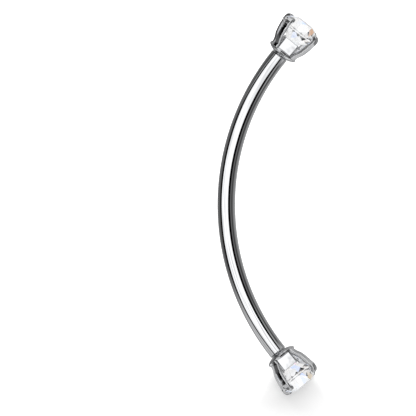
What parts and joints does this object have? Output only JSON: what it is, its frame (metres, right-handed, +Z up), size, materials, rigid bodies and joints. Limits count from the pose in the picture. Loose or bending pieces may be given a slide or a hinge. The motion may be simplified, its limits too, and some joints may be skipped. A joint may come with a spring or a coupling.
{
  "type": "curved eyebrow barbell",
  "caption": "Curved steel barbell for a piercing, with a round clear brilliant-cut stone held by four prongs over a small square cup at each end.",
  "frame": {"origin": "on the surface that the barbell lies on, under the middle of its outline", "axes": "+Y from the lower head to the upper head, as worn; -X to the bulging back of the curve; +Z up from the surface"},
  "size_m": [0.0068, 0.0258, 0.0029],
  "materials": {
    "bar_steel": "mirror-polished surgical steel",
    "setting_steel": "mirror-polished surgical steel, cast and tumbled",
    "clear_stone": "polished clear cubic zirconia, round brilliant cut"
  },
  "bodies": {
    "root": {"curved_bar": "bar_steel", "upper_setting": "setting_steel", "upper_stone": "clear_stone", "lower_setting": "setting_steel", "lower_stone": "clear_stone"}
  },
  "joints": []
}
